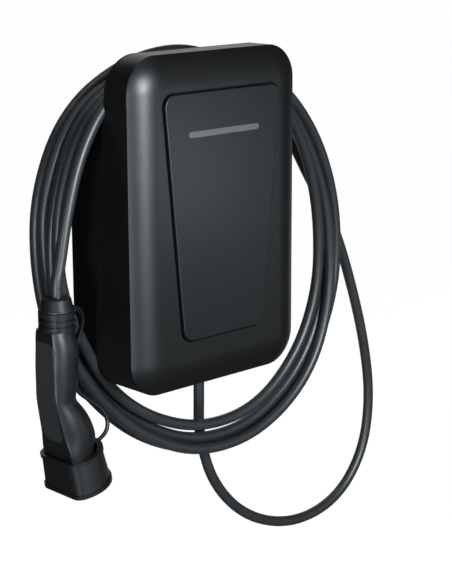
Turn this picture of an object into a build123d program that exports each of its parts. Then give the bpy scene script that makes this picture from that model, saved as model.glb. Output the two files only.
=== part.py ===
from build123d import *
import math
import os

os.makedirs("parts", exist_ok=True)

# Frame: wall plane at y = 0, front towards -y, z up, origin at the centre of the wall screws.

# Enclosure
SHELL_W = 265.0
SHELL_H = 400.0
SHELL_R = 42.0
RIM_Y = -124.0
WALL = 3.0
CROWN_RISE = 15.0
CROWN_RUN = 37.0
CROWN_STEPS = 6
RIM_EDGE_R = 1.0
SEAM_Y = -73.8
SEAM_SLOPE = 0.085
FLANGE_T = 2.5
SEAL_T = 1.2
SEAL_W = 2.0
SEAL_INSET = 1.0
TONGUE_T = 2.0
TONGUE_H = 7.0
TONGUE_GAP = 0.4

# Rear housing, whose arched top carries the wound cable
DRUM_W = 236.0
DRUM_TOP = 169.0
DRUM_BOTTOM = -188.0
DRUM_ARCH_R = 105.0
DRUM_FOOT_R = 36.0
BACK_T = 3.0

# Wall screws
FIX_X = 85.0
FIX_Z = 115.0
FIX_HOLE_R = 3.25
FIX_BOSS_R = 8.0
FIX_BOSS_H = 5.0

# Front panel and status light
PANEL_TOP_Z = 155.5
PANEL_BOTTOM_Z = -137.5
PANEL_TOP_HW = 92.0
PANEL_BOTTOM_HW = 64.0
PANEL_R = 14.0
PANEL_PROUD = 4.0
PANEL_GAP = 2.2
PANEL_T = 3.0
PANEL_SKIRT = 2.5
PANEL_EDGE_R = 1.2
POCKET_DEPTH = 6.0
FLOOR_T = 3.0
BAR_L = 112.0
BAR_H = 7.6
BAR_Z = 107.5
BAR_FIT = 0.15
BAR_LIP = 3.0
BAR_LIP_T = 1.5
WINDOW_L = 100.0
WINDOW_H = 5.0
LED_BOARD = (124.0, 26.0, 1.6)
LED_STANDOFF = 2.0
LED_POST_R = 3.0
LED_POST_INSET = 5.0
LED_COUNT = 8
LED_PITCH = 11.25
LED_SIZE = (3.0, 2.4, 1.4)

# Screws that hold the front shell
COVER_SCREWS = ((72.0, 136.0), (-72.0, 136.0), (22.0, -122.0), (-22.0, -122.0))
COVER_TUBE_R = 6.5
TUBE_GAP = 0.3
COVER_HEAD_R = 3.8
COVER_HEAD_H = 3.0
COVER_SHANK_R = 1.95
COVER_SHANK_GAP = 0.3
COVER_HEAD_GAP = 0.6
SCREW_FIT = 0.05
SCREW_SOCKET_R = 1.6
COVER_SEAT = 7.0
COVER_REACH = 18.0

# Boards and power parts
BOARD_W = 140.0
BOARD_H = 186.0
BOARD_T = 1.6
BOARD_Y = -15.0
BOARD_POST = (62.0, 85.0)
BOARD_POST_R = 4.0
BOARD_SCREW_R = 1.4
BOARD_SCREW_L = 7.0
BOARD_HOLE_GAP = 0.1
BOARD_TUBE_GAP = 1.0
BOARD_HEAD_R = 2.8
BOARD_HEAD_H = 2.0
RELAY = (29.0, 13.0, 25.5)
RELAY_EDGE_R = 1.0
RELAY_X = -46.0
RELAY_Z = 38.0
RELAY_PITCH = 30.5
RELAY_COUNT = 4
SUPPLY_BLOCK = (62.0, 24.0, 26.0)
SUPPLY_BLOCK_AT = (-36.0, -70.0)
OUTPUT_BLOCK = (40.0, 18.0, 20.0)
OUTPUT_BLOCK_AT = (46.0, -69.0)
POLES = 5
TERMINAL_SCREW_R = 2.6
TERMINAL_WELL = 6.0
TERMINAL_SCREW_SINK = 2.0
TERMINAL_FIT = 0.2
CORE_ENTRY_GAP = 0.4
SENSOR_R = 19.0
SENSOR_BORE_R = 9.0
SENSOR_H = 14.0
SENSOR_EDGE_R = 2.0
SENSOR_AT = (40.0, -34.0)
CONVERTER = (52.0, 28.0, 20.0)
CONVERTER_AT = (-30.0, 72.0)
CAPACITOR_R = 6.0
CAPACITOR_H = 22.0
CAPACITOR_AT = ((6.0, 72.0), (21.0, 72.0))
HEADER = (22.0, 6.0, 8.0)
HEADER_AT = (46.0, 76.0)
LINK_T = 0.9
LINK_W = 18.0
LINK_RUN = 30.0
LINK_RISE = 4.0
LINK_BEND_R = 10.0

# Cable entries
SUPPLY_AT = (-62.0, -140.0)
SUPPLY_BORE_R = 8.0
SUPPLY_HOLE_R = 13.0
SUPPLY_LIP_R = 17.0
SUPPLY_LIP_T = 2.5
CABLE_D = 14.2
GLAND_AT = (67.0, -21.0)
GLAND_THREAD_R = 12.3
GLAND_FLATS = 29.0
GLAND_HEX_H = 7.0
GLAND_NUT_H = 20.0
GLAND_LOCK_H = 5.0
GLAND_SEAL_R = 9.0
GLAND_SEAL_H = 16.0
GLAND_NUT_END = 2.0
GLAND_STUB = 3.0
GLAND_FIT = 0.1
GLAND_CABLE_GAP = 0.3
TAIL_TOP_Z = -158.0
CORE_R = 1.9
CORE_RING_R = 4.0
CORE_BEND_R = 7.0
CORE_RISE = 20.0
CORE_RUN = 26.0
CORE_SEAT = 6.0

# Wound cable: rear face, depth, centre, half axes and lean of the wound loops
COIL_BACK_Y = -14.5
COIL_DEPTH = 39.5
COIL_CENTRE = (51.0, -64.0)
COIL_DRIFT = (8.0, 14.0)
COIL_HALF = (262.0, 224.0)
COIL_TURN = 128.0
COIL_HALF_T = 10.0
COIL_EDGE_R = 6.0

# Cable routes, gland to coil and coil to plug
LEAD = (
    (67.0, -21.0, -218.0),
    (67.0, -21.0, -258.0),
    (77.0, -10.0, -318.0),
    (104.0, -10.0, -398.0),
    (170.0, -10.0, -464.0),
    (262.0, -10.0, -497.0),
    (350.0, -10.0, -483.0),
    (404.0, -10.0, -425.0),
    (418.0, -10.0, -344.0),
    (403.0, -9.0, -255.0),
    (372.0, -9.0, -160.0),
    (335.0, -9.0, -72.0),
    (292.0, -12.0, 2.0),
    (246.0, -26.0, 66.0),
)
DROP = (
    (-40.0, -46.0, 189.0),
    (-92.0, -62.0, 164.0),
    (-136.0, -68.0, 122.0),
    (-165.0, -70.0, 67.0),
    (-186.0, -73.0, 7.0),
    (-203.0, -78.0, -36.0),
    (-203.0, -78.0, -69.0),
)
BEND_SHARE = 0.45

# Plug, hanging nose down from the end of the cable
PLUG = (-203.0, -78.0, -69.0)
NUT_H = 13.0
NUT_TOP_R = 16.5
NUT_BASE_R = 19.6
NUT_EDGE_R = 2.0
STRAP_RING_H = 3.0
STRAP_RING_R = 20.2
COLLAR_H = 21.0
COLLAR_R = 21.6
COLLAR_CORE_R = 19.2
COLLAR_SLOT_H = 3.6
COLLAR_SLOT_Z = (-23.0, -30.0)
COLLAR_RIBS = 4
COLLAR_RIB_W = 3.0
COLLAR_RIB_ANGLE = 47.0
NECK_R = 15.0
HANDLE = (
    (-37.0, -2.4, 22.2),
    (-52.0, -1.9, 24.0),
    (-70.0, -1.5, 25.1),
    (-95.0, -2.8, 24.8),
    (-112.0, -4.6, 23.8),
    (-121.0, -5.2, 23.5),
    (-132.0, -0.2, 25.8),
    (-142.0, 4.5, 28.2),
    (-152.0, 8.0, 29.8),
    (-168.0, 11.4, 31.3),
)
HANDLE_FLAT = 20.0
HANDLE_FLAT_BEND_R = 110.0
SHELL_T = 3.0
NOSE_AT = (14.7, -194.9)
NOSE_LEAN = 12.0
NOSE_TOP_R = 30.6
NOSE_FLAT = 18.5
NOSE_EDGE_R = 4.0
GRIP_HW = 17.5
GRIP_TOP = -50.0
GRIP_BOTTOM = -171.0
GRIP_R = 9.0
GRIP_T = 1.6
GRIP_GAP = 0.6
PLUG_TAIL = 62.0
CARRIER_R = 27.4
CARRIER_FLAT = 17.0
CARRIER_CORNER = 6.0
CARRIER_L = 33.0
CARRIER_INSET = 24.0
CARRIER_BODY_R = 25.5
CARRIER_FIT = 0.1
CONTACT_R = 4.0
CONTACT_BORE_R = 2.7
CONTACT_L = 26.0
CONTACT_BORE_L = 20.0
CONTACT_SET = 3.0
POWER_AT = ((-6.0, -16.0), (-6.0, 16.0), (11.0, -9.0), (11.0, 9.0), (1.5, 0.0))
SIGNAL_AT = ((-13.0, -8.5), (-13.0, 8.5))
SIGNAL_R = 2.4
SIGNAL_BORE_R = 1.4
NOSE_SEAL_T = 2.4
NOSE_SEAL_AT = 3.0
NOSE_SEAL_SINK = 1.6
NOSE_SEAL_PROUD = 0.1
PLUG_SCREWS = ((-64.0, 12.5), (-146.0, 21.0))
PLUG_SCREW_R = 1.5
PLUG_SCREW_HEAD_R = 3.0
PLUG_SCREW_HEAD_H = 2.2
PLUG_SCREW_SEAT = 8.0
PLUG_SCREW_GAP = 0.2
PLUG_SCREW_REACH = 9.0
PLUG_BOSS_R = 4.2

# Protective cap and its strap
CAP_GAP = 0.5
CAP_BORE_GAP = 0.5
CAP_MOUTH = 6.0
CAP_MOUTH_GAP = 2.0
CAP_MOUTH_CORNER = 2.0
CAP_TOP_R = 39.0
CAP_FLANGE_H = 4.5
CAP_WAIST_R = 37.2
CAP_END_R = 40.5
CAP_LIP_R = 42.0
CAP_LIP_H = 5.0
CAP_L = 44.5
CAP_FLAT_SHARE = 0.62
CAP_CORNER = 14.0
CAP_END_T = 4.5
STRAP_D = 5.0
STRAP = (
    (-186.0, -77.0, -83.5),
    (-167.0, -75.0, -87.0),
    (-158.0, -70.0, -108.0),
    (-165.0, -65.0, -133.0),
    (-174.0, -63.5, -160.0),
    (-168.0, -63.0, -188.0),
    (-147.0, -66.0, -207.0),
    (-129.0, -71.0, -223.0),
    (-123.0, -74.0, -240.0),
    (-133.0, -76.0, -253.5),
    (-153.0, -77.0, -257.0),
)
STRAP_GAP = 0.4


def at(y):
    return Plane(origin=(0, y, 0), x_dir=(1, 0, 0), z_dir=(0, -1, 0))


def slab(sketch, y_back, y_front):
    return extrude(at(y_back) * sketch, amount=y_back - y_front)


def disc(x, z, radius, y_back, y_front):
    return slab(Pos(x, z) * Circle(radius), y_back, y_front)


def block(x, z, size, y_back):
    return slab(Pos(x, z) * Rectangle(size[0], size[1]), y_back, y_back - size[2])


def rounded(inset=0.0):
    return RectangleRounded(SHELL_W - 2 * inset, SHELL_H - 2 * inset, SHELL_R - inset)


def drum_outline(inset=0.0):
    face = Pos(0, (DRUM_TOP + DRUM_BOTTOM) / 2) * Rectangle(DRUM_W, DRUM_TOP - DRUM_BOTTOM)
    rows = face.vertices().group_by(Axis.Y)
    face = fillet(rows[-1], DRUM_ARCH_R)
    face = fillet(face.vertices().group_by(Axis.Y)[0], DRUM_FOOT_R)
    if inset:
        face = offset(face, amount=-inset)
    return face


def panel_outline(grow=0.0):
    corners = [
        (PANEL_TOP_HW, PANEL_TOP_Z),
        (-PANEL_TOP_HW, PANEL_TOP_Z),
        (-PANEL_BOTTOM_HW, PANEL_BOTTOM_Z),
        (PANEL_BOTTOM_HW, PANEL_BOTTOM_Z),
    ]
    face = make_face(Polyline(*corners, close=True))
    face = fillet(face.vertices(), PANEL_R)
    if grow:
        face = offset(face, amount=grow)
    return face


def seam(shift=0.0):
    return Plane(origin=(0, SEAM_Y + shift, 0), x_dir=(1, 0, 0), z_dir=(0, -1, -SEAM_SLOPE))


def behind(shape, shift=0.0):
    return split(shape, bisect_by=seam(shift), keep=Keep.BOTTOM)


def ahead(shape, shift=0.0):
    return split(shape, bisect_by=seam(shift), keep=Keep.TOP)


def crowned(inset, rim_y):
    crown_r = (CROWN_RUN ** 2 + CROWN_RISE ** 2) / (2 * CROWN_RISE)
    start = math.asin(CROWN_RUN / crown_r)
    faces = []
    for i in range(CROWN_STEPS + 1):
        angle = start * (1 - i / CROWN_STEPS)
        run = CROWN_RUN - crown_r * math.sin(angle)
        rise = CROWN_RISE - crown_r * (1 - math.cos(angle))
        faces.append(at(rim_y - rise) * rounded(inset + run))
    return loft(faces)


def tube(points, diameter):
    runs = [math.dist(a, b) for a, b in zip(points, points[1:])]
    radii = []
    for i in range(1, len(points) - 1):
        before = Vector(*points[i]) - Vector(*points[i - 1])
        after = Vector(*points[i + 1]) - Vector(*points[i])
        turn = math.radians(before.get_angle(after))
        radii.append(BEND_SHARE * min(runs[i - 1], runs[i]) / math.tan(turn / 2))
    path = FilletPolyline(*points, radius=radii)
    start = Plane(origin=points[0], z_dir=path % 0)
    solid = sweep(start * Circle(diameter / 2), path=path)
    share = solid.volume / (math.pi * diameter ** 2 / 4 * path.length)
    print("cord length %.0f radii %s volume ratio %.3f" % (path.length, [round(r) for r in radii], share))
    return solid


def d_face(radius, flat, corner):
    face = Circle(radius) & (Pos(radius - flat, 0) * Rectangle(2 * radius, 4 * radius))
    return fillet(face.vertices(), corner)


def save(shape, node):
    export_step(shape, "parts/" + node + ".step")


front_y = RIM_Y - CROWN_RISE
floor_y = front_y + POCKET_DEPTH
floor_back_y = floor_y + FLOOR_T
panel_y = front_y - PANEL_PROUD

# Rear housing
drum = slab(drum_outline(), 0, RIM_Y)
flange = ahead(slab(rounded(), 0, RIM_Y), FLANGE_T)
rear = behind(drum + flange)
rear -= slab(drum_outline(WALL), -BACK_T, RIM_Y)
tongue = slab(rounded(WALL + TONGUE_GAP), 0, RIM_Y)
tongue -= slab(rounded(WALL + TONGUE_GAP + TONGUE_T), 0, RIM_Y)
rear += ahead(behind(tongue, -TONGUE_H), FLANGE_T / 2)
for x, z in COVER_SCREWS:
    rear += behind(disc(x, z, COVER_TUBE_R, -BACK_T / 2, RIM_Y))
    tip_y = SEAM_Y - SEAM_SLOPE * z
    rear -= disc(x, z, COVER_SHANK_R, tip_y + COVER_REACH + 2, tip_y - 10)
for sx in (-1, 1):
    for sz in (-1, 1):
        rear += disc(sx * FIX_X, sz * FIX_Z, FIX_BOSS_R, -BACK_T / 2, -BACK_T - FIX_BOSS_H)
        rear -= disc(sx * FIX_X, sz * FIX_Z, FIX_HOLE_R, 1, -BACK_T - FIX_BOSS_H - 1)
        post_x = sx * BOARD_POST[0]
        post_z = sz * BOARD_POST[1]
        rear += disc(post_x, post_z, BOARD_POST_R, -BACK_T / 2, BOARD_Y)
        rear -= disc(post_x, post_z, BOARD_SCREW_R, BOARD_Y + BOARD_SCREW_L + 1, BOARD_Y - 1)
rear -= disc(SUPPLY_AT[0], SUPPLY_AT[1], SUPPLY_HOLE_R, 1, -BACK_T - 1)
gland_hole = Pos(GLAND_AT[0], GLAND_AT[1], DRUM_BOTTOM - 1) * Cylinder(
    GLAND_THREAD_R, WALL + 2, align=(Align.CENTER, Align.CENTER, Align.MIN))
rear -= gland_hole
save(rear, "rear_housing")

# Front shell with the pocket for the panel
shell = slab(rounded(), 0, RIM_Y) + crowned(0, RIM_Y)
rim = [edge for edge in shell.edges() if abs(edge.center().Y - RIM_Y) < 0.01]
shell = fillet(rim, RIM_EDGE_R)
shell -= slab(rounded(WALL), 1, RIM_Y + WALL) + crowned(WALL, RIM_Y + WALL)
shell = ahead(shell, -SEAL_T)
shell += slab(panel_outline(PANEL_GAP + WALL), floor_back_y, front_y)
for x, z in COVER_SCREWS:
    shell += ahead(disc(x, z, COVER_TUBE_R, 0, floor_back_y - 1), -TUBE_GAP)
shell -= slab(panel_outline(PANEL_GAP), floor_y, front_y - 1)
for x, z in COVER_SCREWS:
    seat_y = SEAM_Y - SEAM_SLOPE * z - COVER_SEAT
    shell -= disc(x, z, COVER_HEAD_R + COVER_HEAD_GAP, seat_y, front_y)
    shell -= disc(x, z, COVER_SHANK_R + COVER_SHANK_GAP, 0, front_y)
shell -= slab(Pos(0, BAR_Z) * SlotOverall(WINDOW_L, WINDOW_H), floor_back_y + 1, floor_y - 1)
led_y = floor_back_y + LED_STANDOFF
for sx in (-1, 1):
    shell += disc(sx * (LED_BOARD[0] / 2 - LED_POST_INSET), BAR_Z, LED_POST_R, led_y, floor_y - 1)
save(shell, "front_shell")

ring = slab(rounded(SEAL_INSET), 0, RIM_Y) - slab(rounded(SEAL_INSET + SEAL_W), 0, RIM_Y)
save(ahead(behind(ring, -SEAL_T)), "housing_seal")

screws = []
for x, z in COVER_SCREWS:
    seat_y = SEAM_Y - SEAM_SLOPE * z - COVER_SEAT
    head = disc(x, z, COVER_HEAD_R, seat_y, seat_y - COVER_HEAD_H)
    socket = Pos(x, z) * RegularPolygon(SCREW_SOCKET_R, 6)
    head -= slab(socket, seat_y - COVER_HEAD_H / 2, seat_y - COVER_HEAD_H - 1)
    screws.append(head + disc(x, z, COVER_SHANK_R - SCREW_FIT, seat_y + COVER_REACH, seat_y - 1))
save(Compound(screws), "cover_screws")

# Front panel and status light
panel = slab(panel_outline(), floor_y, panel_y)
panel = fillet(panel.faces().sort_by(Axis.Y)[0].edges(), PANEL_EDGE_R)
panel -= slab(panel_outline(-PANEL_SKIRT), floor_y + 1, panel_y + PANEL_T)
panel -= slab(Pos(0, BAR_Z) * SlotOverall(BAR_L, BAR_H), floor_y + 1, panel_y - 1)
save(panel, "front_panel")

lens_face = SlotOverall(BAR_L - 2 * BAR_FIT, BAR_H - 2 * BAR_FIT)
lens = slab(Pos(0, BAR_Z) * lens_face, panel_y + PANEL_T + BAR_LIP_T, panel_y)
lens += slab(Pos(0, BAR_Z) * SlotOverall(BAR_L + 2 * BAR_LIP, BAR_H + 2 * BAR_LIP),
             panel_y + PANEL_T + BAR_LIP_T, panel_y + PANEL_T)
save(lens, "light_bar")

save(slab(Pos(0, BAR_Z) * Rectangle(LED_BOARD[0], LED_BOARD[1]), led_y + LED_BOARD[2], led_y), "led_board")
leds = []
for i in range(LED_COUNT):
    x = (i - (LED_COUNT - 1) / 2) * LED_PITCH
    leds.append(block(x, BAR_Z, LED_SIZE, led_y))
save(Compound(leds), "status_leds")

# Main board and what stands on it
face_y = BOARD_Y - BOARD_T
board = slab(Rectangle(BOARD_W, BOARD_H), BOARD_Y, face_y)
board_screws = []
for sx in (-1, 1):
    for sz in (-1, 1):
        x = sx * BOARD_POST[0]
        z = sz * BOARD_POST[1]
        board -= disc(x, z, BOARD_SCREW_R + BOARD_HOLE_GAP, BOARD_Y + 1, face_y - 1)
        pin = disc(x, z, BOARD_SCREW_R - SCREW_FIT, BOARD_Y + BOARD_SCREW_L, face_y)
        board_screws.append(pin + disc(x, z, BOARD_HEAD_R, face_y, face_y - BOARD_HEAD_H))
for x, z in COVER_SCREWS:
    board -= disc(x, z, COVER_TUBE_R + BOARD_TUBE_GAP, BOARD_Y + 1, face_y - 1)
save(board, "main_board")
save(Compound(board_screws), "board_screws")

relays = []
for i in range(RELAY_COUNT):
    relay = block(RELAY_X + i * RELAY_PITCH, RELAY_Z, RELAY, face_y)
    relays.append(fillet(relay.edges().filter_by(Axis.Y), RELAY_EDGE_R))
save(Compound(relays), "power_relays")


def terminal(where, size):
    body = block(where[0], where[1], size, face_y)
    heads = []
    pitch = size[0] / POLES
    for i in range(POLES):
        x = where[0] + (i - (POLES - 1) / 2) * pitch
        z = where[1] + size[1] / 5
        top_y = face_y - size[2]
        body -= disc(x, z, TERMINAL_SCREW_R + TERMINAL_FIT, top_y + TERMINAL_WELL, top_y - 1)
        heads.append(disc(x, z, TERMINAL_SCREW_R, top_y + TERMINAL_WELL, top_y + TERMINAL_SCREW_SINK))
        entry = Pos(x, face_y - size[2] / 2, where[1] - size[1] / 2 - 1) * Cylinder(
            CORE_R + CORE_ENTRY_GAP, size[1] / 2, align=(Align.CENTER, Align.CENTER, Align.MIN))
        body -= entry
    return body, heads


supply_block, supply_heads = terminal(SUPPLY_BLOCK_AT, SUPPLY_BLOCK)
output_block, output_heads = terminal(OUTPUT_BLOCK_AT, OUTPUT_BLOCK)
save(supply_block, "supply_terminal")
save(output_block, "output_terminal")
save(Compound(supply_heads + output_heads), "terminal_screws")

sensor = disc(SENSOR_AT[0], SENSOR_AT[1], SENSOR_R, face_y, face_y - SENSOR_H)
sensor -= disc(SENSOR_AT[0], SENSOR_AT[1], SENSOR_BORE_R, face_y + 1, face_y - SENSOR_H - 1)
save(fillet(sensor.faces().sort_by(Axis.Y)[0].edges(), SENSOR_EDGE_R), "current_sensor")
save(block(CONVERTER_AT[0], CONVERTER_AT[1], CONVERTER, face_y), "power_converter")
capacitors = [disc(x, z, CAPACITOR_R, face_y, face_y - CAPACITOR_H) for x, z in CAPACITOR_AT]
save(Compound(capacitors), "capacitors")
save(block(HEADER_AT[0], HEADER_AT[1], HEADER, face_y), "link_header")

link_start = face_y - HEADER[2]
link_end = led_y + LED_BOARD[2]
link_path = FilletPolyline(
    (HEADER_AT[0], link_start, HEADER_AT[1]),
    (HEADER_AT[0], link_start - LINK_RUN, HEADER_AT[1]),
    (HEADER_AT[0], link_end + LINK_RUN, BAR_Z + LINK_RISE),
    (HEADER_AT[0], link_end, BAR_Z + LINK_RISE),
    radius=LINK_BEND_R)
link_plane = Plane(origin=link_path @ 0, x_dir=(1, 0, 0), z_dir=link_path % 0)
save(sweep(link_plane * Rectangle(LINK_W, LINK_T), path=link_path), "board_link")

# Cable entries
supply = disc(SUPPLY_AT[0], SUPPLY_AT[1], SUPPLY_HOLE_R, 0, -BACK_T)
supply += disc(SUPPLY_AT[0], SUPPLY_AT[1], SUPPLY_LIP_R, -BACK_T, -BACK_T - SUPPLY_LIP_T)
supply -= disc(SUPPLY_AT[0], SUPPLY_AT[1], SUPPLY_BORE_R, 1, -BACK_T - SUPPLY_LIP_T - 1)
save(supply, "supply_grommet")


def upright(x, y, radius, z_low, z_high):
    return extrude(Plane.XY.offset(z_low) * (Pos(x, y) * Circle(radius)), amount=z_high - z_low)


def hexagon(x, y, flats, z_low, z_high):
    face = Pos(x, y) * RegularPolygon(flats / 2, 6, major_radius=False, rotation=30)
    return extrude(Plane.XY.offset(z_low) * face, amount=z_high - z_low)


gx, gy = GLAND_AT
hex_z = DRUM_BOTTOM - GLAND_HEX_H
nut_z = hex_z - GLAND_NUT_H
inside_z = DRUM_BOTTOM + WALL
seal_low = nut_z + GLAND_NUT_END
seal_top = seal_low + GLAND_SEAL_H
gland_top = inside_z + GLAND_LOCK_H + GLAND_STUB
gland = hexagon(gx, gy, GLAND_FLATS, hex_z, DRUM_BOTTOM)
gland += upright(gx, gy, GLAND_THREAD_R - GLAND_FIT, hex_z + 1, gland_top)
gland -= upright(gx, gy, GLAND_SEAL_R, hex_z - 1, gland_top + 1)
save(gland, "gland_body")
lock = hexagon(gx, gy, GLAND_FLATS, inside_z, inside_z + GLAND_LOCK_H)
save(lock - upright(gx, gy, GLAND_THREAD_R, inside_z - 1, inside_z + GLAND_LOCK_H + 1), "gland_locknut")
nut = hexagon(gx, gy, GLAND_FLATS + 1, nut_z, hex_z)
nut = nut & (Pos(gx, gy, nut_z) * Cone(CABLE_D, CABLE_D + GLAND_NUT_H, GLAND_NUT_H,
                                       align=(Align.CENTER, Align.CENTER, Align.MIN)))
nut -= upright(gx, gy, GLAND_SEAL_R, seal_low, hex_z + 1)
nut -= upright(gx, gy, CABLE_D / 2 + GLAND_CABLE_GAP, nut_z - 1, hex_z)
save(nut, "gland_nut")
gland_seal = upright(gx, gy, GLAND_SEAL_R, seal_low, seal_top)
save(gland_seal - upright(gx, gy, CABLE_D / 2, nut_z, seal_top + 1), "gland_seal")
save(upright(gx, gy, CABLE_D / 2, LEAD[0][2], TAIL_TOP_Z), "cable_tail")

cores = []
core_y = face_y - OUTPUT_BLOCK[2] / 2
core_end = OUTPUT_BLOCK_AT[1] - OUTPUT_BLOCK[1] / 2 + CORE_SEAT
for i in range(POLES):
    angle = 2 * math.pi * (POLES - 1 - i) / POLES + math.pi / 10
    x = gx + CORE_RING_R * math.cos(angle)
    y = gy + CORE_RING_R * math.sin(angle)
    x_end = OUTPUT_BLOCK_AT[0] + (i - (POLES - 1) / 2) * OUTPUT_BLOCK[0] / POLES
    route = FilletPolyline(
        (x, y, TAIL_TOP_Z),
        (x, y, TAIL_TOP_Z + CORE_RISE),
        (x_end, core_y, core_end - CORE_RUN),
        (x_end, core_y, core_end),
        radius=CORE_BEND_R)
    cores.append(sweep(Plane(origin=route @ 0, z_dir=route % 0) * Circle(CORE_R), path=route))
save(Compound(cores), "cable_cores")

# Wound cable and its two free ends
coil_face = Rotation(0, 0, COIL_TURN) * (
    Ellipse(COIL_HALF[0] + COIL_HALF_T, COIL_HALF[1] + COIL_HALF_T)
    - Ellipse(COIL_HALF[0] - COIL_HALF_T, COIL_HALF[1] - COIL_HALF_T))
coil_face = at(COIL_BACK_Y) * (Pos(*COIL_CENTRE) * coil_face)
coil_dir = Vector(COIL_DRIFT[0], -COIL_DEPTH, COIL_DRIFT[1])
coil = extrude(coil_face, amount=coil_dir.length, dir=coil_dir)
coil = fillet(coil.edges().filter_by(GeomType.ELLIPSE), COIL_EDGE_R)
save(coil, "cable_coil")
save(tube(LEAD, CABLE_D), "cable_lead")
save(tube(DROP, CABLE_D), "cable_drop")

# Plug body
px, py, pz = PLUG


def plug_level(z, x=0.0):
    return Plane.XY.offset(pz + z) * Pos(px + x, py)


def nose(shift=0.0):
    lean = math.radians(NOSE_LEAN)
    axis = Vector(math.sin(lean), 0, -math.cos(lean))
    origin = Vector(px + NOSE_AT[0], py, pz + NOSE_AT[1]) + axis * shift
    return Plane(origin=origin, x_dir=(math.cos(lean), 0, math.sin(lean)), z_dir=axis)


def handle_body(inset):
    faces = [plug_level(z, x) * Circle(r - inset) for z, x, r in HANDLE]
    solid = loft(faces + [nose() * Circle(NOSE_TOP_R - inset)])
    return solid - beside_grip(inset)


def beside_grip(inset):
    # space beside the flat, which is upright along the grip and then bends to lie along the nose
    end = nose()
    low = end.origin - end.x_dir * (NOSE_FLAT - inset) + end.z_dir * NOSE_TOP_R
    upright_x = px - HANDLE_FLAT + inset
    bend = low + end.z_dir * ((upright_x - low.X) / end.z_dir.X)
    outside = upright_x - 2 * NOSE_TOP_R
    flat = FilletPolyline((upright_x, pz), (upright_x, bend.Z), (low.X, low.Z), radius=HANDLE_FLAT_BEND_R)
    around = Polyline((low.X, low.Z), (outside, low.Z), (outside, pz), (upright_x, pz))
    face = make_face([*flat.edges(), *around.edges()])
    return extrude(Plane.XZ.offset(-py) * face, amount=2 * NOSE_TOP_R, both=True)


def soften(solid):
    flats = [face for face in solid.faces() if face.geom_type == GeomType.CYLINDER]
    flats += [face for face in solid.faces() if face.geom_type == GeomType.PLANE and face.normal_at().X < -0.9]
    ridges = [edge for face in flats for edge in face.edges() if abs(edge.tangent_at(0.5).Y) < 0.9]
    return fillet(ridges, NOSE_EDGE_R)


def nose_part(sketch, low, high):
    return extrude(nose(low) * sketch, amount=high - low)


def carrier_face(grow=0.0):
    return d_face(CARRIER_R + grow, CARRIER_FLAT + grow, CARRIER_CORNER + grow)


def carrier_root(grow=0.0):
    return d_face(CARRIER_BODY_R + grow, NOSE_FLAT - SHELL_T + grow, CARRIER_CORNER + grow)


nut_low = -NUT_H
ring_low = nut_low - STRAP_RING_H
collar_low = ring_low - COLLAR_H
sleeve = Pos(px, py, pz + nut_low) * Cone(
    NUT_BASE_R, NUT_TOP_R, NUT_H, align=(Align.CENTER, Align.CENTER, Align.MIN))
sleeve = fillet(sleeve.edges().sort_by(Axis.Z)[-1], NUT_EDGE_R)
sleeve += upright(px, py, NECK_R, pz + ring_low, pz + nut_low + 1)
sleeve -= upright(px, py, CABLE_D / 2, pz + ring_low - 1, pz + 1)
save(sleeve, "plug_sleeve")

collar = upright(px, py, COLLAR_R, pz + collar_low, pz + ring_low)
for z in COLLAR_SLOT_Z:
    band = upright(px, py, COLLAR_R + 1, pz + z - COLLAR_SLOT_H / 2, pz + z + COLLAR_SLOT_H / 2)
    band -= upright(px, py, COLLAR_CORE_R, pz + z - COLLAR_SLOT_H, pz + z + COLLAR_SLOT_H)
    for i in range(COLLAR_RIBS):
        rib = Pos(COLLAR_R, 0) * Box(2 * COLLAR_R, COLLAR_RIB_W, 3 * COLLAR_SLOT_H)
        band -= Pos(px, py, pz + z) * Rotation(0, 0, COLLAR_RIB_ANGLE + i * 360 / COLLAR_RIBS) * rib
    collar -= band
collar -= upright(px, py, CABLE_D / 2, pz + collar_low - 1, pz + ring_low + 1)
save(collar, "plug_collar")
save(upright(px, py, CABLE_D / 2, pz - PLUG_TAIL, pz), "plug_tail")

outer = soften(handle_body(0))
cavity = handle_body(SHELL_T)
cavity = split(cavity, bisect_by=Plane.XY.offset(pz + HANDLE[0][0] - SHELL_T), keep=Keep.BOTTOM)
skin = outer - handle_body(GRIP_T)
grip_plane = Plane(origin=(px, py, pz + (GRIP_TOP + GRIP_BOTTOM) / 2), x_dir=(0, 1, 0), z_dir=(-1, 0, 0))


def grip_inlay(grow=0.0):
    face = RectangleRounded(2 * (GRIP_HW + grow), GRIP_TOP - GRIP_BOTTOM + 2 * grow, GRIP_R + grow)
    return skin & extrude(grip_plane * face, amount=2 * NOSE_TOP_R)


save(grip_inlay(), "plug_grip")

body = outer - cavity - grip_inlay(GRIP_GAP)
body -= upright(px, py, CABLE_D / 2, pz + collar_low - SHELL_T - 1, pz + collar_low + 1)
body -= nose_part(carrier_root(), -CARRIER_INSET, 1)

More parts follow.
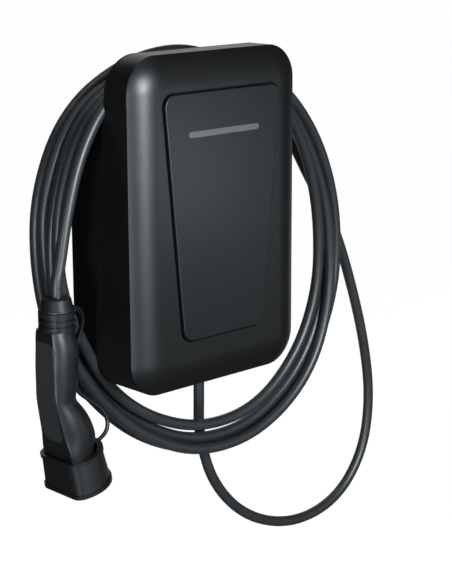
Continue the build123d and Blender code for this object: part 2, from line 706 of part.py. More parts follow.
screws = []
for z, x in PLUG_SCREWS:
    across = Plane(origin=(px + x, py, pz + z), x_dir=(1, 0, 0), z_dir=(0, 1, 0))
    body += outer & extrude(across * Circle(PLUG_BOSS_R), amount=2 * NOSE_TOP_R, both=True)
    body -= extrude(across.offset(-PLUG_SCREW_REACH - 1) * Circle(PLUG_SCREW_R), amount=2 * NOSE_TOP_R)
    well = Circle(PLUG_SCREW_HEAD_R + PLUG_SCREW_GAP)
    body -= extrude(across.offset(PLUG_SCREW_SEAT) * well, amount=NOSE_TOP_R)
    shank = Circle(PLUG_SCREW_R - SCREW_FIT)
    screw = extrude(across.offset(-PLUG_SCREW_REACH) * shank, amount=PLUG_SCREW_REACH + PLUG_SCREW_SEAT + 1)
    head = extrude(across.offset(PLUG_SCREW_SEAT) * Circle(PLUG_SCREW_HEAD_R), amount=PLUG_SCREW_HEAD_H)
    socket = RegularPolygon(SCREW_SOCKET_R, 6)
    head -= extrude(across.offset(PLUG_SCREW_SEAT + 1) * socket, amount=PLUG_SCREW_HEAD_H)
    screws.append(screw + head)
save(Compound(screws), "plug_screws")
middle = Plane(origin=(px, py, pz), x_dir=(1, 0, 0), z_dir=(0, -1, 0))
save(split(body, bisect_by=middle, keep=Keep.TOP), "plug_half_front")
save(split(body, bisect_by=middle, keep=Keep.BOTTOM), "plug_half_rear")

# Contacts and their carrier
carrier = nose_part(carrier_face(), 0, CARRIER_L)
carrier += nose_part(carrier_root(-CARRIER_FIT), 1 - CARRIER_INSET, 0)
groove = nose_part(carrier_face(CARRIER_R), NOSE_SEAL_AT, NOSE_SEAL_AT + NOSE_SEAL_T)
groove -= nose_part(carrier_face(-NOSE_SEAL_SINK), 0, CARRIER_L)
carrier -= groove
nose_seal = nose_part(carrier_face(NOSE_SEAL_PROUD), NOSE_SEAL_AT, NOSE_SEAL_AT + NOSE_SEAL_T)
nose_seal -= nose_part(carrier_face(-NOSE_SEAL_SINK), 0, CARRIER_L)
save(nose_seal, "nose_seal")


contact_high = CARRIER_L - CONTACT_SET
contact_low = contact_high - CONTACT_L


def contacts(places, radius, bore):
    pieces = []
    for x, y in places:
        piece = nose_part(Pos(x, y) * Circle(radius), contact_low, contact_high)
        pieces.append(piece - nose_part(Pos(x, y) * Circle(bore), contact_high - CONTACT_BORE_L, CARRIER_L))
    return pieces


for places, radius, bore in ((POWER_AT, CONTACT_R, CONTACT_BORE_R), (SIGNAL_AT, SIGNAL_R, SIGNAL_BORE_R)):
    for x, y in places:
        carrier -= nose_part(Pos(x, y) * Circle(radius), contact_low, contact_high)
        carrier -= nose_part(Pos(x, y) * Circle(bore), 0, CARRIER_L + 1)
save(carrier, "contact_carrier")
save(Compound(contacts(POWER_AT, CONTACT_R, CONTACT_BORE_R)), "power_contacts")
save(Compound(contacts(SIGNAL_AT, SIGNAL_R, SIGNAL_BORE_R)), "signal_contacts")

leads = []
for i in range(POLES):
    angle = 2 * math.pi * i / POLES
    x = px + CORE_RING_R * math.cos(angle)
    y = py + CORE_RING_R * math.sin(angle)
    wire = upright(x, y, CORE_R, pz + NOSE_AT[1], pz - PLUG_TAIL)
    leads.append(split(wire, bisect_by=nose(1 - CARRIER_INSET), keep=Keep.BOTTOM))
save(Compound(leads), "plug_cores")

# Protective cap
cap_low = -CAP_MOUTH
cap_high = cap_low + CAP_L


def cap_face(radius, grow=0.0):
    return d_face(radius + grow, radius * CAP_FLAT_SHARE + grow, CAP_CORNER + grow)


cap = nose_part(cap_face(CAP_TOP_R), cap_low, cap_low + CAP_FLANGE_H)
waist = nose(cap_low + CAP_FLANGE_H / 2) * cap_face(CAP_WAIST_R)
cap += loft([waist, nose(cap_high) * cap_face(CAP_END_R)])
cap += nose_part(cap_face(CAP_LIP_R), cap_high - CAP_LIP_H, cap_high)
mouth = d_face(NOSE_TOP_R + CAP_MOUTH_GAP, NOSE_FLAT + CAP_MOUTH_GAP, CAP_MOUTH_CORNER)
cap -= nose_part(mouth, cap_low - 1, CAP_GAP)
cap -= nose_part(carrier_face(CAP_BORE_GAP), 0, cap_high - CAP_END_T)
save(cap, "plug_cap")

strap = tube(STRAP, STRAP_D)
strap_ring = upright(px, py, STRAP_RING_R, pz + ring_low, pz + nut_low)
strap_ring -= upright(px, py, NECK_R, pz + ring_low - 1, pz + nut_low + 1)
strap += strap_ring
strap -= sleeve
strap -= upright(px, py, COLLAR_R, pz + collar_low, pz + ring_low)
strap -= nose_part(cap_face(CAP_TOP_R, STRAP_GAP), cap_low - STRAP_GAP, cap_high)
save(strap, "cap_strap")
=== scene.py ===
import math
import bmesh
import bpy
from mathutils import Matrix, Vector


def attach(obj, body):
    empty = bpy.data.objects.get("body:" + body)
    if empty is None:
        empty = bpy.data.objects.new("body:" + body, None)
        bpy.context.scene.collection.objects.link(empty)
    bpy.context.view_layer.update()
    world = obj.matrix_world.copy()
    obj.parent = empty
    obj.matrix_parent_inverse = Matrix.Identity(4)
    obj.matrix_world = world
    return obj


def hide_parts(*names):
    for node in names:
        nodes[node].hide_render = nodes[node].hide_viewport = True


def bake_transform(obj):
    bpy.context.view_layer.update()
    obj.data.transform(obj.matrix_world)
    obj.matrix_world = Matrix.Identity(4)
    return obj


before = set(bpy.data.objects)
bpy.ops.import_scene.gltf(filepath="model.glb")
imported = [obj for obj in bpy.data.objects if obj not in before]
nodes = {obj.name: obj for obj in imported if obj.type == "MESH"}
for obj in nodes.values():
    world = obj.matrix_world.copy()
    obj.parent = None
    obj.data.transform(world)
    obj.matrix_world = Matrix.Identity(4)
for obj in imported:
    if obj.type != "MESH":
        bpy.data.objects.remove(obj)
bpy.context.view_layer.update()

scene = bpy.context.scene
scene.view_settings.view_transform = "Standard"
print("frame loaded with", len(nodes), "nodes")

camera = {"at": (-1.28, -1.5026, 0.3819), "yaw": -43.30, "pitch": 14.09, "roll": -0.22, "lens": 99.18,
          "reach": 200.0}
plugCentre = (-0.203, -0.078)
glandCentre = (0.067, -0.021)


def makeCamera():
    data = bpy.data.cameras.new("camera")
    data.lens = camera["lens"]
    data.clip_end = camera["reach"]
    obj = bpy.data.objects.new("camera", data)
    turn = Matrix.Rotation(math.radians(camera["yaw"]), 4, "Z")
    turn @= Matrix.Rotation(math.radians(90.0 - camera["pitch"]), 4, "X")
    turn @= Matrix.Rotation(math.radians(camera["roll"]), 4, "Z")
    obj.matrix_world = Matrix.Translation(camera["at"]) @ turn
    scene.collection.objects.link(obj)
    scene.camera = obj


makeCamera()


# shared shader effects
def newGroup(name, inputs, outputs):
    group = bpy.data.node_groups.new(name, "ShaderNodeTree")
    for label, kind in inputs:
        group.interface.new_socket(name=label, in_out="INPUT", socket_type=kind)
    for label, kind in outputs:
        group.interface.new_socket(name=label, in_out="OUTPUT", socket_type=kind)
    return group, group.nodes.new("NodeGroupInput"), group.nodes.new("NodeGroupOutput")


grainLook = {"grainDetail": 2.0, "cloudDetail": 3.0, "deep": 0.0004}


def makeGrain():
    group, inputs, outputs = newGroup(
        "mouldedGrain",
        [("Vector", "NodeSocketVector"), ("Grain Size", "NodeSocketFloat"),
         ("Cloud Size", "NodeSocketFloat")],
        [("Height", "NodeSocketFloat"), ("Cloud", "NodeSocketFloat")])
    grain = group.nodes.new("ShaderNodeTexNoise")
    grain.inputs["Detail"].default_value = grainLook["grainDetail"]
    cloud = group.nodes.new("ShaderNodeTexNoise")
    cloud.inputs["Detail"].default_value = grainLook["cloudDetail"]
    group.links.new(inputs.outputs["Vector"], grain.inputs["Vector"])
    group.links.new(inputs.outputs["Vector"], cloud.inputs["Vector"])
    group.links.new(inputs.outputs["Grain Size"], grain.inputs["Scale"])
    group.links.new(inputs.outputs["Cloud Size"], cloud.inputs["Scale"])
    group.links.new(grain.outputs["Fac"], outputs.inputs["Height"])
    group.links.new(cloud.outputs["Fac"], outputs.inputs["Cloud"])
    return group


grainGroup = makeGrain()
plainIor = 1.45  # for finishes that name none


def moulded(name, spec):
    material = bpy.data.materials.new(name)
    material.use_nodes = True
    tree = material.node_tree
    shader = tree.nodes["Principled BSDF"]
    shader.inputs["IOR"].default_value = spec.get("ior", plainIor)
    shader.inputs["Metallic"].default_value = spec.get("metal", 0.0)
    place = tree.nodes.new("ShaderNodeTexCoord")
    grain = tree.nodes.new("ShaderNodeGroup")
    grain.node_tree = grainGroup
    grain.inputs["Grain Size"].default_value = spec["grain"]
    grain.inputs["Cloud Size"].default_value = spec["cloud"]
    tree.links.new(place.outputs["Object"], grain.inputs["Vector"])
    tint = tree.nodes.new("ShaderNodeMix")
    tint.data_type = "RGBA"
    tint.inputs["A"].default_value = (*spec["dark"], 1.0)
    tint.inputs["B"].default_value = (*spec["light"], 1.0)
    tree.links.new(grain.outputs["Cloud"], tint.inputs["Factor"])
    tree.links.new(tint.outputs["Result"], shader.inputs["Base Color"])
    rough = tree.nodes.new("ShaderNodeMapRange")
    rough.inputs["To Min"].default_value = spec["rough"][0]
    rough.inputs["To Max"].default_value = spec["rough"][1]
    tree.links.new(grain.outputs["Cloud"], rough.inputs["Value"])
    tree.links.new(rough.outputs["Result"], shader.inputs["Roughness"])
    bump = tree.nodes.new("ShaderNodeBump")
    bump.inputs["Strength"].default_value = spec["bump"]
    bump.inputs["Distance"].default_value = grainLook["deep"]
    tree.links.new(grain.outputs["Height"], bump.inputs["Height"])
    tree.links.new(bump.outputs["Normal"], shader.inputs["Normal"])
    return material


finishes = {
    "shell": {"dark": (0.0010, 0.0011, 0.0012), "light": (0.0016, 0.0017, 0.0019), "rough": (0.38, 0.43),
              "grain": 1400.0, "cloud": 9.0, "bump": 0.10},
    "rear": {"dark": (0.0010, 0.0010, 0.0011), "light": (0.0018, 0.0018, 0.0020), "rough": (0.5, 0.6),
             "grain": 1400.0, "cloud": 9.0, "bump": 0.10, "ior": 1.35},
    "panel": {"dark": (0.0016, 0.0017, 0.0019), "light": (0.0024, 0.0025, 0.0028), "rough": (0.38, 0.43),
              "grain": 1400.0, "cloud": 9.0, "bump": 0.12},
    "lens": {"dark": (0.038, 0.040, 0.043), "light": (0.048, 0.050, 0.054), "rough": (0.34, 0.40),
             "grain": 300.0, "cloud": 20.0, "bump": 0.02},
    "cable": {"dark": (0.010, 0.0106, 0.0114), "light": (0.014, 0.0148, 0.016), "rough": (0.38, 0.44),
              "grain": 700.0, "cloud": 30.0, "bump": 0.15},
    "plug": {"dark": (0.0030, 0.0032, 0.0035), "light": (0.0045, 0.0047, 0.0052), "rough": (0.34, 0.42),
             "grain": 1200.0, "cloud": 20.0, "bump": 0.12},
    "sleeve": {"dark": (0.0025, 0.0027, 0.0030), "light": (0.0040, 0.0042, 0.0046), "rough": (0.44, 0.52),
               "grain": 900.0, "cloud": 25.0, "bump": 0.12, "ior": 1.32},
    "cap": {"dark": (0.0022, 0.0023, 0.0025), "light": (0.0034, 0.0035, 0.0038), "rough": (0.40, 0.48),
            "grain": 900.0, "cloud": 25.0, "bump": 0.12},
    "seal": {"dark": (0.008, 0.008, 0.008), "light": (0.013, 0.013, 0.013), "rough": (0.55, 0.7),
             "grain": 800.0, "cloud": 30.0, "bump": 0.2},
    "gland": {"dark": (0.010, 0.010, 0.011), "light": (0.015, 0.015, 0.016), "rough": (0.45, 0.55),
              "grain": 1200.0, "cloud": 25.0, "bump": 0.1},
    "block": {"dark": (0.015, 0.015, 0.016), "light": (0.022, 0.022, 0.024), "rough": (0.35, 0.5),
              "grain": 900.0, "cloud": 40.0, "bump": 0.1},
    "terminal": {"dark": (0.26, 0.27, 0.27), "light": (0.32, 0.33, 0.33), "rough": (0.4, 0.5),
                 "grain": 900.0, "cloud": 40.0, "bump": 0.1},
    "can": {"dark": (0.020, 0.024, 0.055), "light": (0.030, 0.036, 0.075), "rough": (0.25, 0.35),
            "grain": 600.0, "cloud": 60.0, "bump": 0.05},
    "ribbon": {"dark": (0.22, 0.22, 0.23), "light": (0.30, 0.30, 0.31), "rough": (0.4, 0.5),
               "grain": 700.0, "cloud": 80.0, "bump": 0.1},
    "emitter": {"dark": (0.62, 0.58, 0.36), "light": (0.80, 0.78, 0.60), "rough": (0.3, 0.4),
                "grain": 900.0, "cloud": 300.0, "bump": 0.05},
    "carrier": {"dark": (0.018, 0.018, 0.019), "light": (0.028, 0.028, 0.030), "rough": (0.35, 0.45),
                "grain": 1000.0, "cloud": 40.0, "bump": 0.08},
    "steel": {"dark": (0.42, 0.43, 0.44), "light": (0.56, 0.57, 0.58), "rough": (0.25, 0.42),
              "grain": 2400.0, "cloud": 120.0, "bump": 0.08, "metal": 1.0},
    "contact": {"dark": (0.62, 0.60, 0.55), "light": (0.76, 0.74, 0.69), "rough": (0.18, 0.3),
                "grain": 2400.0, "cloud": 120.0, "bump": 0.05, "metal": 1.0},
}
materials = {name: moulded(name, spec) for name, spec in finishes.items()}

# grip knurl: its grooves take the darker colour and its ridges the lighter one, so this is painted shade in
# the grooves and painted highlight on the ridges, over the bump relief
knurl = {"pitch": 0.0026, "turns": (45.0, -45.0), "low": (0.004, 0.0041, 0.0044),
         "high": (0.038, 0.0395, 0.042), "rough": 0.6, "bump": 0.5, "deep": 0.0004}
waveRate = 20.0  # radians of a wave texture in each unit of length


def makeKnurl():
    material = bpy.data.materials.new("gripKnurlShadedGrooves")
    material.use_nodes = True
    tree = material.node_tree
    shader = tree.nodes["Principled BSDF"]
    shader.inputs["Roughness"].default_value = knurl["rough"]
    place = tree.nodes.new("ShaderNodeTexCoord")
    waves = []
    for turn in knurl["turns"]:
        mapping = tree.nodes.new("ShaderNodeMapping")
        mapping.inputs["Rotation"].default_value = (math.radians(turn), 0.0, 0.0)
        wave = tree.nodes.new("ShaderNodeTexWave")
        wave.bands_direction = "Y"
        wave.inputs["Scale"].default_value = 2 * math.pi / (waveRate * knurl["pitch"])
        tree.links.new(place.outputs["Object"], mapping.inputs["Vector"])
        tree.links.new(mapping.outputs["Vector"], wave.inputs["Vector"])
        waves.append(wave)
    # the crossed waves give the knurl's height; the same value sets the colour, so the grooves carry painted
    # shade and the ridges a painted highlight
    knurlHeightShade = tree.nodes.new("ShaderNodeMath")
    knurlHeightShade.operation = "MULTIPLY"
    tree.links.new(waves[0].outputs["Fac"], knurlHeightShade.inputs[0])
    tree.links.new(waves[1].outputs["Fac"], knurlHeightShade.inputs[1])
    tint = tree.nodes.new("ShaderNodeMix")
    tint.data_type = "RGBA"
    tint.inputs["A"].default_value = (*knurl["low"], 1.0)
    tint.inputs["B"].default_value = (*knurl["high"], 1.0)
    tree.links.new(knurlHeightShade.outputs["Value"], tint.inputs["Factor"])
    tree.links.new(tint.outputs["Result"], shader.inputs["Base Color"])
    bump = tree.nodes.new("ShaderNodeBump")
    bump.inputs["Strength"].default_value = knurl["bump"]
    bump.inputs["Distance"].default_value = knurl["deep"]
    tree.links.new(knurlHeightShade.outputs["Value"], bump.inputs["Height"])
    tree.links.new(bump.outputs["Normal"], shader.inputs["Normal"])
    return material


board = {"base": (0.012, 0.085, 0.040), "track": (0.030, 0.150, 0.070), "scale": 160.0, "width": 0.06,
         "rough": 0.38, "bump": 0.2, "deep": 0.0002}


def makeBoard():
    material = bpy.data.materials.new("boardLacquer")
    material.use_nodes = True
    tree = material.node_tree
    shader = tree.nodes["Principled BSDF"]
    shader.inputs["Roughness"].default_value = board["rough"]
    place = tree.nodes.new("ShaderNodeTexCoord")
    mapping = tree.nodes.new("ShaderNodeMapping")
    mapping.inputs["Rotation"].default_value = (math.radians(90.0), 0.0, 0.0)
    tracks = tree.nodes.new("ShaderNodeTexBrick")
    tracks.inputs["Color1"].default_value = (*board["base"], 1.0)
    tracks.inputs["Color2"].default_value = (*board["base"], 1.0)
    tracks.inputs["Mortar"].default_value = (*board["track"], 1.0)
    tracks.inputs["Scale"].default_value = board["scale"]
    tracks.inputs["Mortar Size"].default_value = board["width"]
    tree.links.new(place.outputs["Object"], mapping.inputs["Vector"])
    tree.links.new(mapping.outputs["Vector"], tracks.inputs["Vector"])
    tree.links.new(tracks.outputs["Color"], shader.inputs["Base Color"])
    bump = tree.nodes.new("ShaderNodeBump")
    bump.inputs["Strength"].default_value = board["bump"]
    bump.inputs["Distance"].default_value = board["deep"]
    tree.links.new(tracks.outputs["Fac"], bump.inputs["Height"])
    tree.links.new(bump.outputs["Normal"], shader.inputs["Normal"])
    return material


cores = {"rough": 0.4, "colours": ((0.10, 0.045, 0.020), (0.012, 0.012, 0.012), (0.22, 0.22, 0.22),
                                   (0.020, 0.075, 0.26), (0.16, 0.30, 0.035))}


def makeCores(name, centre):
    material = bpy.data.materials.new(name)
    material.use_nodes = True
    tree = material.node_tree
    shader = tree.nodes["Principled BSDF"]
    shader.inputs["Roughness"].default_value = cores["rough"]
    place = tree.nodes.new("ShaderNodeTexCoord")
    mapping = tree.nodes.new("ShaderNodeMapping")
    mapping.inputs["Location"].default_value = (-centre[0], -centre[1], 0.0)
    sweep = tree.nodes.new("ShaderNodeTexGradient")
    sweep.gradient_type = "RADIAL"
    ramp = tree.nodes.new("ShaderNodeValToRGB")
    ramp.color_ramp.interpolation = "CONSTANT"
    share = 1.0 / len(cores["colours"])
    steps = ramp.color_ramp.elements
    steps[1].position = share
    for i, colour in enumerate(cores["colours"]):
        step = steps[i] if i < 2 else steps.new(i * share)  # a ramp starts with two steps
        step.color = (*colour, 1.0)
    tree.links.new(place.outputs["Object"], mapping.inputs["Vector"])
    tree.links.new(mapping.outputs["Vector"], sweep.inputs["Vector"])
    tree.links.new(sweep.outputs["Fac"], ramp.inputs["Fac"])
    tree.links.new(ramp.outputs["Color"], shader.inputs["Base Color"])
    return material


def dress(material, *names):
    for name in names:
        slots = nodes[name].data.materials
        slots.clear()
        slots.append(material)


dress(materials["shell"], "front_shell")
dress(materials["panel"], "front_panel")
dress(materials["rear"], "rear_housing")
dress(materials["lens"], "light_bar")
dress(materials["seal"], "housing_seal", "supply_grommet", "gland_seal", "nose_seal")
dress(materials["gland"], "gland_body", "gland_nut", "gland_locknut")
dress(materials["cable"], "cable_tail", "plug_tail")
dress(materials["sleeve"], "plug_sleeve", "plug_collar")
dress(materials["plug"], "plug_half_front", "plug_half_rear")
dress(makeKnurl(), "plug_grip")
dress(materials["carrier"], "contact_carrier")
dress(materials["cap"], "plug_cap")
dress(materials["contact"], "power_contacts", "signal_contacts")
dress(materials["steel"], "cover_screws", "board_screws", "terminal_screws", "plug_screws")
dress(makeBoard(), "main_board", "led_board")
dress(materials["emitter"], "status_leds")
dress(materials["block"], "power_relays", "current_sensor", "power_converter")
dress(materials["terminal"], "supply_terminal", "output_terminal", "link_header")
dress(materials["can"], "capacitors")
dress(materials["ribbon"], "board_link")
dress(makeCores("cableCores", glandCentre), "cable_cores")
dress(makeCores("plugCores", plugCentre), "plug_cores")
print("materials on the solids")

# cable, one length from the gland round the drum to the plug
leadRoute = (
    (0.067, -0.021, -0.218), (0.067, -0.021, -0.258), (0.077, -0.0085, -0.318), (0.104, -0.0076, -0.398),
    (0.170, -0.0076, -0.464), (0.262, -0.0076, -0.497), (0.350, -0.0076, -0.483), (0.404, -0.0076, -0.425),
    (0.418, -0.0076, -0.344), (0.403, -0.0076, -0.255), (0.372, -0.0076, -0.160), (0.335, -0.0076, -0.072),
    (0.288, -0.0080, -0.006), (0.252, -0.0090, 0.050))
dropRoute = (
    (-0.104, -0.0784, 0.163), (-0.141, -0.0784, 0.128), (-0.168, -0.078, 0.080), (-0.186, -0.078, 0.020),
    (-0.197, -0.078, -0.034), (-0.203, -0.078, -0.052), (-0.203, -0.078, -0.069))
cable = {"diameter": 0.0142, "length": 7.85, "exit": leadRoute[0]}
millimetre = 0.001
coil = {  # loose turns from the wall outwards: radius and depth in millimetres at each step round the centre
    "centre": (0.051, -0.060), "first": 45.0, "step": 22.5,
    "radii": (
        (226, 233, 249.6, 258.5, 266.8, 252.8, 235.3, 230.4, 227.7, 242.4, 266, 285, 295, 286, 268.6, 256),
        (248, 243, 238, 251, 268.2, 253, 233, 217.8, 215.4, 228.3, 251.5, 270, 272.5, 258, 235.5, 223),
        (223, 229, 238, 251, 268, 248.6, 236.4, 229.5, 228.5, 240.6, 264, 280, 280.5, 255, 229.7, 217),
        (217, 226, 238, 251, 268.5, 252, 237, 212, 210.7, 215.6, 228.5, 239.5, 233, 218.5, 201.5, 196),
        (203, 217, 237, 252)),
    "depths": (
        (11, 15, 20, 21.8, 21.6, 21.6, 21.6, 21.8, 22, 22.5, 23.2, 23, 23, 23, 23.5, 25),
        (28, 32, 35.2, 36, 36, 36, 36.2, 34, 32, 32, 32, 31.5, 31, 30.5, 31, 34.5),
        (40, 46, 49.6, 50.2, 50.2, 50, 50.4, 45.5, 44, 44, 44.5, 45, 45, 45, 46, 49.5),
        (54.5, 60.5, 64, 64.4, 64.4, 63.8, 64.8, 55.5, 47.8, 48.5, 49.5, 50, 50.5, 51.5, 54, 60),
        (67, 75, 78.2, 78.4))}


def coilTurns():
    reach = millimetre / math.cos(math.radians(coil["step"] / 2))  # the spline cuts inside its points
    turns = []
    for radii, depths in zip(coil["radii"], coil["depths"]):
        for i, (radius, depth) in enumerate(zip(radii, depths)):
            angle = math.radians(coil["first"] + i * coil["step"])
            turns.append((coil["centre"][0] + reach * radius * math.cos(angle), -millimetre * depth,
                          coil["centre"][1] + reach * radius * math.sin(angle)))
    return turns


tube = {"order": 3, "along": 8, "around": 6}  # order of the spline and how finely its tube is divided


def makeRoute(name, points, diameter):
    curve = bpy.data.curves.new(name, "CURVE")
    curve.dimensions = "3D"
    spline = curve.splines.new("NURBS")
    spline.points.add(len(points) - 1)
    for point, place in zip(spline.points, points):
        point.co = (*place, 1.0)
    spline.order_u = tube["order"]
    spline.use_endpoint_u = True
    spline.resolution_u = tube["along"]
    curve.bevel_depth = diameter / 2
    curve.bevel_resolution = tube["around"]
    curve.use_fill_caps = True
    return bpy.data.objects.new(name, curve)


chargeCable = makeRoute("chargeCable", list(leadRoute) + coilTurns() + list(dropRoute), cable["diameter"])
scene.collection.objects.link(chargeCable)
chargeCable.data.materials.append(materials["cable"])
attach(chargeCable, "charger")
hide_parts("cable_lead", "cable_coil", "cable_drop")
print("cable wound")

# cap strap, with the ring that holds it under the plug's sleeve
strap = {
    "diameter": 0.005, "length": 0.22, "merge": 0.00001,
    "start": (-0.160, -0.067, -0.120), "end": (-0.130, -0.074, -0.245),
    "route": (
        (-0.186, -0.077, -0.0835), (-0.167, -0.075, -0.087), (-0.158, -0.070, -0.108),
        (-0.165, -0.065, -0.133), (-0.174, -0.0635, -0.160), (-0.168, -0.063, -0.191),
        (-0.1495, -0.0645, -0.2065), (-0.132, -0.069, -0.2215), (-0.126, -0.072, -0.2385),
        (-0.135, -0.0755, -0.2525), (-0.153, -0.077, -0.257))}


def strapPath():
    line = makeRoute("strapLine", strap["route"], 0.0)
    mesh = bpy.data.meshes.new_from_object(line)
    path = [vertex.co.copy() for vertex in mesh.vertices]
    bpy.data.meshes.remove(mesh)
    bpy.data.objects.remove(line)
    return path


def makeStrap():
    line = makeRoute("strapTube", strap["route"], strap["diameter"])
    mesh = bpy.data.meshes.new_from_object(line)
    bpy.data.objects.remove(line)
    bm = bmesh.new()
    bm.from_mesh(mesh)
    bmesh.ops.remove_doubles(bm, verts=bm.verts, dist=strap["merge"])
    bmesh.ops.recalc_face_normals(bm, faces=bm.faces)
    for face in bm.faces:
        face.smooth = len(face.verts) == 4  # the ends stay flat
    bm.to_mesh(mesh)
    bm.free()
    mesh.materials.clear()
    mesh.materials.append(materials["cap"])
    obj = bpy.data.objects.new("capStrap", mesh)
    scene.collection.objects.link(obj)
    return obj


strapRing = {"inner": 0.0151, "outer": 0.0202, "low": -0.085, "high": -0.082, "steps": 48,
             "edge": 0.0006, "edgeSteps": 2, "sharp": 1.0}


def makeStrapRing():
    bm = bmesh.new()
    profile = [bm.verts.new((radius, 0.0, height)) for radius, height in (
        (strapRing["inner"], strapRing["low"]), (strapRing["outer"], strapRing["low"]),
        (strapRing["outer"], strapRing["high"]), (strapRing["inner"], strapRing["high"]))]
    sides = [bm.edges.new((profile[i], profile[(i + 1) % 4])) for i in range(4)]
    bmesh.ops.spin(bm, geom=profile + sides, cent=(0.0, 0.0, 0.0), axis=(0.0, 0.0, 1.0), angle=2 * math.pi,
                   steps=strapRing["steps"], use_merge=True)
    bmesh.ops.recalc_face_normals(bm, faces=bm.faces)
    rims = [edge for edge in bm.edges if edge.is_manifold and edge.calc_face_angle() > strapRing["sharp"]]
    bmesh.ops.bevel(bm, geom=rims, offset=strapRing["edge"], affect="EDGES", segments=strapRing["edgeSteps"],
                    profile=0.5, material=-1)
    bmesh.ops.translate(bm, verts=bm.verts, vec=(*plugCentre, 0.0))
    for face in bm.faces:
        face.smooth = True
    mesh = bpy.data.meshes.new("strapRing")
    bm.to_mesh(mesh)
    bm.free()
    mesh.materials.append(materials["cap"])
    obj = bpy.data.objects.new("strapRing", mesh)
    scene.collection.objects.link(obj)
    return obj


capStrap = makeStrap()
ring = makeStrapRing()
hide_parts("cap_strap")
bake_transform(capStrap)
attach(ring, "charger")
strapPath()
print("strap hung")

# floor, light and background
studio = {"floorZ": -1.1, "floorSize": 80.0, "floorColour": (0.85, 0.85, 0.85), "floorRough": 0.9,
          "fill": 0.25, "white": 1.12, "shade": 0.15}


def whiteBackground(tree, dim, bright, output):
    rays = tree.nodes.new("ShaderNodeLightPath")
    seen = tree.nodes.new("ShaderNodeMath")
    seen.operation = "MAXIMUM"
    tree.links.new(rays.outputs["Is Camera Ray"], seen.inputs[0])
    tree.links.new(rays.outputs["Is Transmission Ray"], seen.inputs[1])
    mirrored = tree.nodes.new("ShaderNodeMath")
    mirrored.operation = "MAXIMUM"
    tree.links.new(seen.outputs["Value"], mirrored.inputs[0])
    tree.links.new(rays.outputs["Is Glossy Ray"], mirrored.inputs[1])
    mix = tree.nodes.new("ShaderNodeMixShader")
    tree.links.new(mirrored.outputs["Value"], mix.inputs["Fac"])
    tree.links.new(dim, mix.inputs[1])
    tree.links.new(bright, mix.inputs[2])
    tree.links.new(mix.outputs["Shader"], output.inputs["Surface"])


def makeWorld():
    world = bpy.data.worlds.new("studio")
    world.use_nodes = True
    tree = world.node_tree
    dim = tree.nodes["Background"]
    dim.inputs["Color"].default_value = (1.0, 1.0, 1.0, 1.0)
    dim.inputs["Strength"].default_value = studio["fill"]
    bright = tree.nodes.new("ShaderNodeBackground")
    bright.inputs["Color"].default_value = (1.0, 1.0, 1.0, 1.0)
    bright.inputs["Strength"].default_value = 1.0
    whiteBackground(tree, dim.outputs["Background"], bright.outputs["Background"], tree.nodes["World Output"])
    scene.world = world


def makeFloor():
    mesh = bpy.data.meshes.new("floor")
    bm = bmesh.new()
    bmesh.ops.create_grid(bm, x_segments=1, y_segments=1, size=studio["floorSize"] / 2)
    bmesh.ops.translate(bm, verts=bm.verts, vec=(0.0, 0.0, studio["floorZ"]))
    bm.to_mesh(mesh)
    bm.free()
    floor = bpy.data.objects.new("floor", mesh)
    scene.collection.objects.link(floor)
    material = bpy.data.materials.new("floor")
    material.use_nodes = True
    tree = material.node_tree
    shader = tree.nodes["Principled BSDF"]
    shader.inputs["Base Color"].default_value = (*studio["floorColour"], 1.0)
    shader.inputs["Roughness"].default_value = studio["floorRough"]
    glow = tree.nodes.new("ShaderNodeEmission")
    glow.inputs["Strength"].default_value = studio["white"]
    shaded = tree.nodes.new("ShaderNodeMixShader")
    shaded.inputs["Fac"].default_value = studio["shade"]
    tree.links.new(glow.outputs["Emission"], shaded.inputs[1])
    tree.links.new(shader.outputs["BSDF"], shaded.inputs[2])
    whiteBackground(tree, shader.outputs["BSDF"], shaded.outputs["Shader"], tree.nodes["Material Output"])
    mesh.materials.append(material)


lampColour = (0.87, 0.95, 1.0)
lamps = {
    "key": {"at": (-0.35, -2.2, 0.45), "aim": (-0.05, -0.1, 0.0), "size": (0.36, 0.9), "power": 105.0},
    "glow": {"at": (0.20, -0.50, 0.0), "aim": (-0.05, -0.14, 0.1), "size": (0.14, 0.14), "power": 0.20},
    "right": {"at": (1.30, -1.60, -0.3), "aim": (0.0, -0.1, -0.2), "size": (0.4, 0.4), "power": 1.4},
    "left": {"at": (-1.90, -1.25, -0.30), "aim": (-0.1, -0.1, 0.0), "size": (0.3, 0.9), "power": 36.0},
    "top": {"at": (-0.2, -0.1, 2.0), "aim": (0.0, -0.05, 0.0), "size": (1.6, 1.0), "power": 10.0},
}


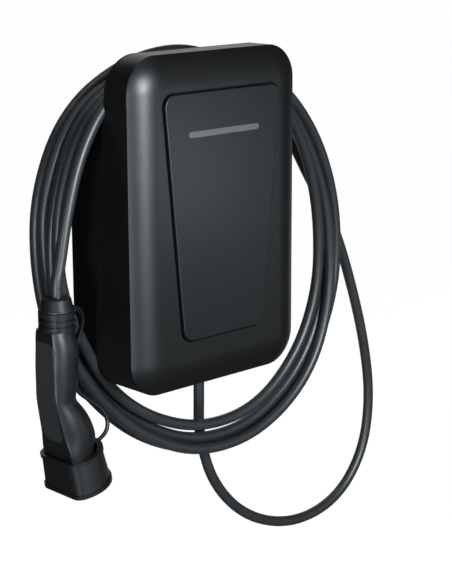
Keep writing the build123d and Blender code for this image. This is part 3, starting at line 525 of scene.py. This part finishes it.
def makeLamp(name, spec):
    data = bpy.data.lights.new(name, "AREA")
    data.shape = "RECTANGLE"
    data.size, data.size_y = spec["size"]
    data.energy = spec["power"]
    data.color = lampColour
    lamp = bpy.data.objects.new(name, data)
    aim = Vector(spec["aim"]) - Vector(spec["at"])
    lamp.matrix_world = Matrix.Translation(spec["at"]) @ aim.to_track_quat("-Z", "Y").to_matrix().to_4x4()
    lamp.visible_camera = False
    scene.collection.objects.link(lamp)


darkCloth = (0.045, 0.05, 0.055)
greyCard = (0.7, 0.72, 0.74)
flags = {  # boxes of cloth and card that only reflections see
    "surround": {"low": (-4.0, -4.0, -1.08), "high": (6.0, 4.0, 4.0), "colour": darkCloth, "openBack": True},
    "backLow": {"low": (-4.0, 4.0, -1.08), "high": (6.0, 4.05, 0.6), "colour": darkCloth},
    "backLeft": {"low": (-4.0, 4.0, 0.6), "high": (0.8, 4.05, 4.0), "colour": darkCloth},
    "backFloor": {"low": (0.4, 0.5, -1.075), "high": (6.0, 3.95, -1.07), "colour": greyCard},
}


def makeFlag(name, spec):
    low = Vector(spec["low"])
    high = Vector(spec["high"])
    bm = bmesh.new()
    bmesh.ops.create_cube(bm, size=1.0)
    bmesh.ops.scale(bm, verts=bm.verts, vec=high - low)
    bm.normal_update()
    if "openBack" in spec:
        back = max(bm.faces, key=lambda face: face.normal.y)
        bmesh.ops.delete(bm, geom=[back], context="FACES")
    bmesh.ops.translate(bm, verts=bm.verts, vec=(low + high) / 2)
    mesh = bpy.data.meshes.new(name)
    bm.to_mesh(mesh)
    bm.free()
    material = bpy.data.materials.new(name)
    material.use_nodes = True
    shader = material.node_tree.nodes["Principled BSDF"]
    shader.inputs["Base Color"].default_value = (0.0, 0.0, 0.0, 1.0)
    shader.inputs["Roughness"].default_value = 1.0
    shader.inputs["Emission Color"].default_value = (*spec["colour"], 1.0)
    shader.inputs["Emission Strength"].default_value = 1.0
    mesh.materials.append(material)
    flag = bpy.data.objects.new(name, mesh)
    flag.visible_camera = False
    flag.visible_diffuse = False
    flag.visible_transmission = False
    flag.visible_shadow = False
    scene.collection.objects.link(flag)


makeWorld()
makeFloor()
for name, spec in flags.items():
    makeFlag(name, spec)
for name, spec in lamps.items():
    makeLamp(name, spec)
print("studio lit")
